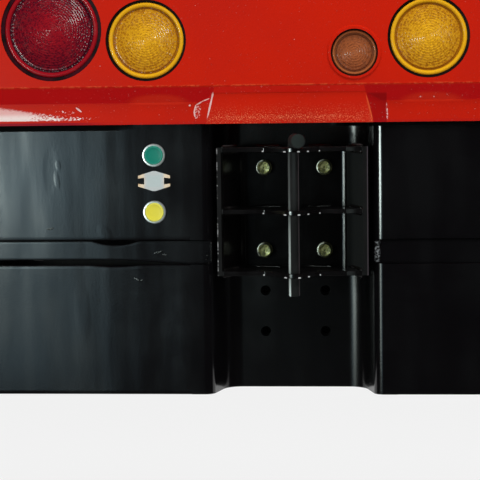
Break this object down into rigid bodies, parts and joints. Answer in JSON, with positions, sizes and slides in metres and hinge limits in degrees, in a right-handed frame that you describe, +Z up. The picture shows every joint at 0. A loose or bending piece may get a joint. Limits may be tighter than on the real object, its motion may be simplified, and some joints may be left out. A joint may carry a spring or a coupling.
{
  "type": "rear end section of a baggage tug with tow coupling",
  "caption": "Rear end of a baggage tug: red hood skirt with round lamps over a black chassis wall, recessed plate coupling with a lift-out draw pin, and two inching buttons.",
  "frame": {"origin": "centre of the four chassis bolt holes, on the face of the end plates that bolts to the vehicle's chassis", "axes": "+X to the right as seen from behind the vehicle, +Y towards the vehicle's front and out of the bolting face, +Z up"},
  "size_m": [0.98, 0.2185, 0.585],
  "materials": {
    "wall_black": "semi-gloss black paint on rolled plate",
    "frame_black": "flat black paint",
    "hood_red": "semi-gloss red paint with light orange peel",
    "coupling_black": "gloss black paint",
    "bolt_zinc": "yellow zinc",
    "lens_red": "moulded lens",
    "lens_amber": "moulded lens",
    "lens_dull": "weathered reflector",
    "lamp_cup": "black moulding",
    "cap_green": "satin",
    "cap_yellow": "satin",
    "bezel_metal": "satin",
    "block_plastic": "moulded",
    "sign_white": "printed film on plate, blank",
    "pin_steel": "gloss black over steel"
  },
  "bodies": {
    "tail": {"recess_channel": "wall_black", "wall_upper_left": "wall_black", "wall_upper_right": "wall_black", "band_left": "wall_black", "band_right": "wall_black", "wall_lower_left": "wall_black", "wall_lower_right": "wall_black", "doubler_plate": "frame_black", "stiffener_left": "frame_black", "stiffener_right": "frame_black", "rail_left": "frame_black", "rail_right": "frame_black", "end_plate_left": "frame_black", "end_plate_right": "frame_black", "cross_tube_top": "frame_black", "cross_tube_bottom": "frame_black", "bulkhead": "frame_black", "hood": "hood_red", "hood_bracket_left": "frame_black", "hood_bracket_right": "frame_black", "coupling_channel": "coupling_black", "tow_plate_top": "coupling_black", "tow_plate_middle": "coupling_black", "tow_plate_bottom": "coupling_black", "coupling_bolt_1": "bolt_zinc", "coupling_bolt_2": "bolt_zinc", "coupling_bolt_3": "bolt_zinc", "coupling_bolt_4": "bolt_zinc", "red_lamp_left": "lens_red", "red_lamp_left_cup": "lamp_cup", "red_lamp_right": "lens_red", "red_lamp_right_cup": "lamp_cup", "amber_lamp_left": "lens_amber", "amber_lamp_left_cup": "lamp_cup", "amber_lamp_right": "lens_amber", "amber_lamp_right_cup": "lamp_cup", "reflector": "lens_dull", "reflector_cup": "lamp_cup", "button_green": "cap_green", "button_green_bezel": "bezel_metal", "button_green_block": "block_plastic", "button_yellow": "cap_yellow", "button_yellow_bezel": "bezel_metal", "button_yellow_block": "block_plastic", "direction_sign": "sign_white"},
    "draw_pin": {"draw_pin": "pin_steel"}
  },
  "joints": [
    {"name": "draw_pin_lift", "type": "slide", "parent": "tail", "child": "draw_pin", "axis": [0, 0, 1], "range_m": [0, 0.2]}
  ]
}
